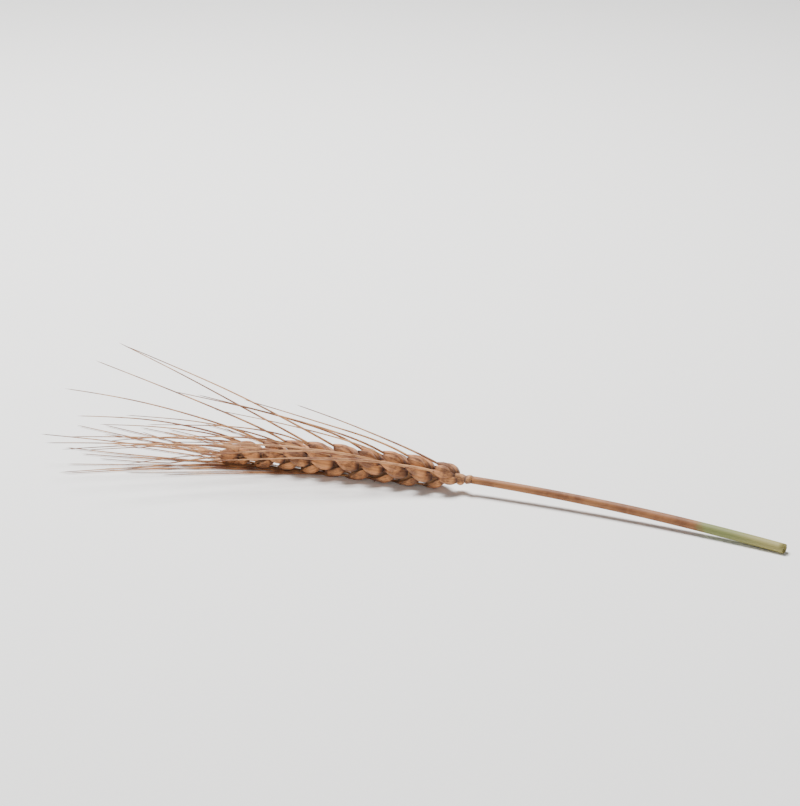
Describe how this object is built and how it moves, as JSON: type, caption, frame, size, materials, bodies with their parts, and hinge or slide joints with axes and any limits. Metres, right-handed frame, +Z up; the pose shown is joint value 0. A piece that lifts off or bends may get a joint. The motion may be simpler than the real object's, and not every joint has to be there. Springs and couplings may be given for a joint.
{
  "type": "wheat ear",
  "caption": "Dried bearded wheat ear dyed copper brown: overlapping pointed spikelets with long fine awns, on a cut length of hollow straw, lying down.",
  "frame": {"origin": "middle of the footprint, on the surface that the ear lies on", "axes": "+Z up, -X towards the awns' tips, +X towards the straw's cut end"},
  "size_m": [0.2434, 0.067, 0.0377],
  "materials": {
    "chaff": "matt dyed chaff, dry and finely veined",
    "straw": "dyed straw with a soft sheen, pale green and undyed towards the cut end"
  },
  "bodies": {
    "root": {"ear": "chaff", "stem": "straw"}
  },
  "joints": []
}
